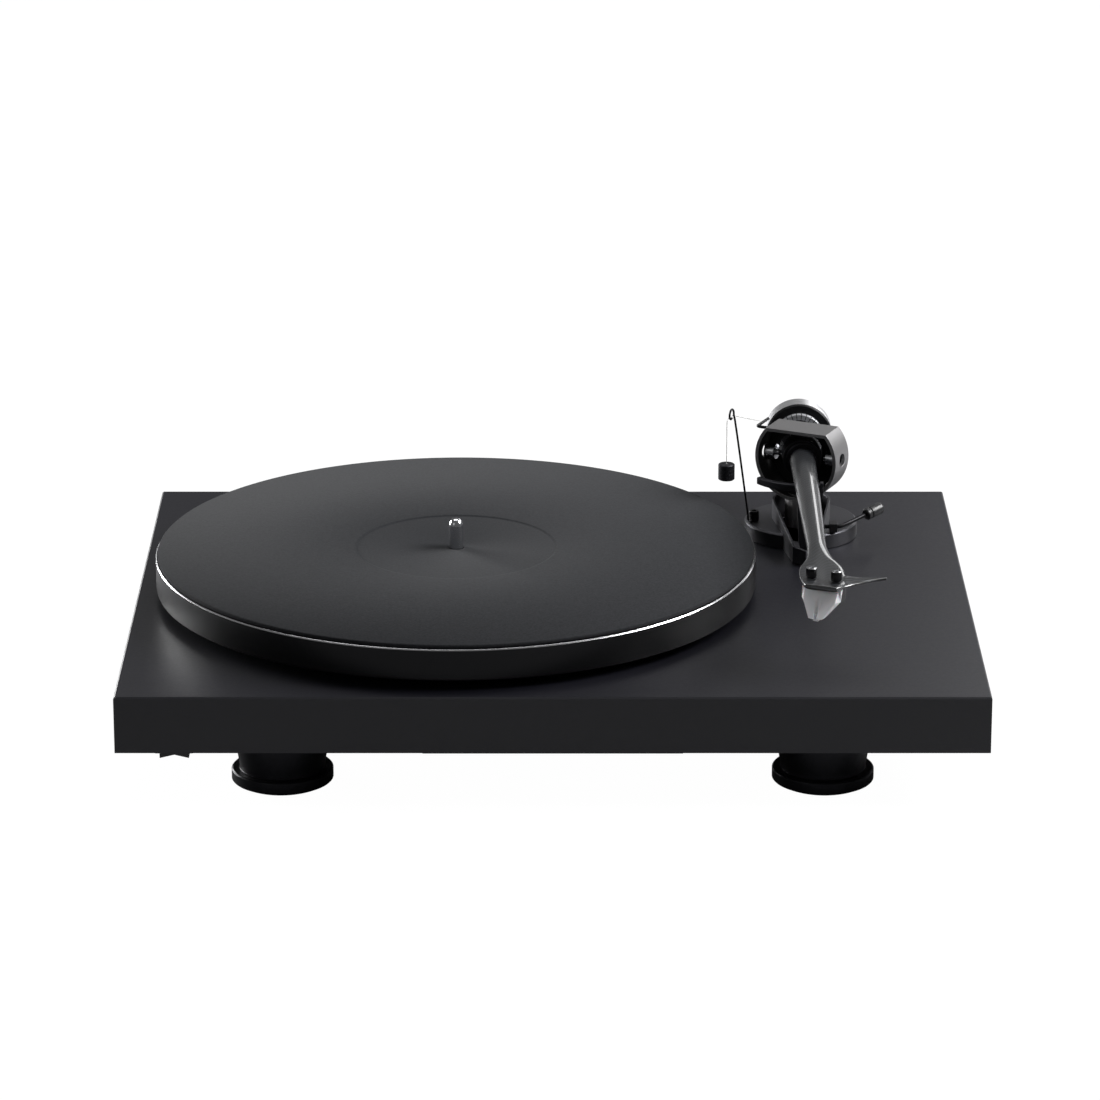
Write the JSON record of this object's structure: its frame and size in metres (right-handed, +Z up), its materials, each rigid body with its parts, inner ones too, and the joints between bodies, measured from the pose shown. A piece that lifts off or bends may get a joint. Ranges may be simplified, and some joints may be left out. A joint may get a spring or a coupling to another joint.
{
  "type": "turntable record player",
  "caption": "Belt-drive record player: slab plinth on turned feet, felt-topped platter, carbon gimbal tonearm with counterweight, cueing lever and thread anti-skate.",
  "frame": {"origin": "on the floor under the middle of the plinth, which is the middle of the bounding box underside", "axes": "+X to the right along the plinth, +Y from the front edge to the rear, +Z up"},
  "size_m": [0.415, 0.32, 0.123],
  "materials": {
    "plinth_lacquer": "satin black lacquer on fibreboard",
    "black_metal": "satin black anodised",
    "grey_metal": "satin grey, fine bead blast",
    "black_steel": "blackened and waxed",
    "steel": "turned and polished",
    "zinc": "zinc plated",
    "bronze": "sintered bronze",
    "brass": "turned brass",
    "platter_metal": "satin black rim with a bright bevel",
    "felt": "fine grey felt",
    "rubber": "matt black rubber",
    "black_plastic": "moulded black plastic",
    "carbon": "woven carbon fibre under clear lacquer",
    "silver_plastic": "pearl silver moulding",
    "circuit_board": "green solder mask",
    "nylon": "clear nylon thread"
  },
  "bodies": {
    "chassis": {"plinth": "plinth_lacquer", "board_cover": "black_metal", "control_board": "circuit_board", "motor_can": "zinc", "motor_suspension": "rubber", "motor_cover": "black_metal", "bearing_housing": "brass", "bearing_bush": "bronze", "bearing_thrust_pad": "black_plastic", "bearing_thrust_ball": "steel", "bearing_nut": "zinc", "drive_belt": "rubber", "speed_switch_housing": "black_plastic", "terminal_box": "black_plastic", "power_socket": "black_plastic", "phono_socket_left": "brass", "phono_socket_right": "brass", "ground_terminal": "brass", "arm_base": "black_metal", "arm_base_nut": "zinc", "arm_rest": "black_metal", "antiskate_wire": "black_metal", "antiskate_clamp_knob": "black_metal", "cue_lever_block": "black_plastic", "antiskate_thread": "nylon"},
    "foot_front_left": {"foot_front_left": "black_metal", "foot_pad_front_left": "rubber"},
    "foot_front_right": {"foot_front_right": "black_metal", "foot_pad_front_right": "rubber"},
    "foot_rear": {"foot_rear": "black_metal", "foot_pad_rear": "rubber"},
    "platter": {"platter": "platter_metal", "sub_platter": "black_plastic", "platter_mat": "felt", "platter_damping_ring": "rubber", "spindle": "steel"},
    "pulley": {"motor_pulley": "brass"},
    "speed_rocker": {"speed_rocker": "black_plastic"},
    "pillar": {"arm_pillar": "grey_metal", "arm_bearing": "steel"},
    "arm_drum": {"arm_drum": "grey_metal", "arm_axle": "steel", "pivot_screw_left": "steel", "pivot_screw_right": "steel", "antiskate_stub": "black_metal"},
    "arm": {"arm_tube": "carbon", "arm_gimbal_collar": "black_metal", "counterweight_stub": "steel", "cartridge_body": "black_plastic", "thumb_screw_left": "steel", "thumb_screw_right": "steel"},
    "counterweight": {"counterweight": "steel", "counterweight_bush": "rubber", "counterweight_dial": "grey_metal"},
    "stylus": {"stylus_holder": "silver_plastic", "cantilever": "steel"},
    "cue_lever": {"cue_lever": "black_steel", "cue_lever_grip": "black_steel"},
    "cue_lift": {"lift_bar": "black_metal"},
    "antiskate_weight": {"antiskate_weight": "black_metal"}
  },
  "joints": [
    {"name": "platter_spin", "type": "hinge", "parent": "chassis", "child": "platter", "pos_m": [-0.0483, 0, 0.055], "axis": [0, 0, 1], "continuous": true},
    {"name": "pulley_spin", "type": "hinge", "parent": "chassis", "child": "pulley", "pos_m": [-0.12608, 0.07778, 0.055], "axis": [0, 0, 1], "continuous": true},
    {"name": "speed_rocker_tilt", "type": "hinge", "parent": "chassis", "child": "speed_rocker", "pos_m": [-0.1796, -0.152, 0.0278], "axis": [0, 1, 0], "range_deg": [-8, 8]},
    {"name": "arm_height", "type": "slide", "parent": "chassis", "child": "pillar", "axis": [0, 0, 1], "range_m": [0, 0.004]},
    {"name": "arm_swing", "type": "hinge", "parent": "pillar", "child": "arm_drum", "pos_m": [0.1286, 0.0884, 0.0974], "axis": [0, 0, -1], "range_deg": [0, 48]},
    {"name": "arm_lift", "type": "hinge", "parent": "arm_drum", "child": "arm", "pos_m": [0.1286, 0.0884, 0.0974], "axis": [-0.9063, 0.4226, 0], "range_deg": [-0.4, 2.5]},
    {"name": "counterweight_slide", "type": "slide", "parent": "arm", "child": "counterweight", "axis": [0, 1, 0], "range_m": [-0.008, 0.012]},
    {"name": "stylus_release", "type": "slide", "parent": "arm", "child": "stylus", "axis": [-0.4226, -0.9063, 0], "range_m": [0, 0.006]},
    {"name": "cue_lever_turn", "type": "hinge", "parent": "chassis", "child": "cue_lever", "pos_m": [0.1436, 0.066, 0.066], "axis": [1, 0, 0], "range_deg": [-8, 50]},
    {"name": "cue_lift_rise", "type": "slide", "parent": "chassis", "child": "cue_lift", "axis": [0, 0, 1], "range_m": [-0.00024, 0.0015]},
    {"name": "antiskate_weight_rise", "type": "slide", "parent": "chassis", "child": "antiskate_weight", "axis": [0, 0, 1], "range_m": [0, 0.0185], "deforming": ["antiskate_thread"]},
    {"name": "front_left_foot_screw", "type": "slide", "parent": "chassis", "child": "foot_front_left", "axis": [0, 0, -1], "range_m": [0, 0.005]},
    {"name": "front_right_foot_screw", "type": "slide", "parent": "chassis", "child": "foot_front_right", "axis": [0, 0, -1], "range_m": [0, 0.005]},
    {"name": "rear_foot_screw", "type": "slide", "parent": "chassis", "child": "foot_rear", "axis": [0, 0, -1], "range_m": [0, 0.005]}
  ],
  "couplings": [
    {"joint": "pulley_spin", "follows": "platter_spin", "ratio": 8.41},
    {"joint": "arm_lift", "follows": "cue_lever_turn", "ratio": 0.05},
    {"joint": "cue_lift_rise", "follows": "cue_lever_turn", "m_per_rad": 0.001719},
    {"joint": "antiskate_weight_rise", "follows": "arm_swing", "m_per_rad": 0.021963}
  ]
}
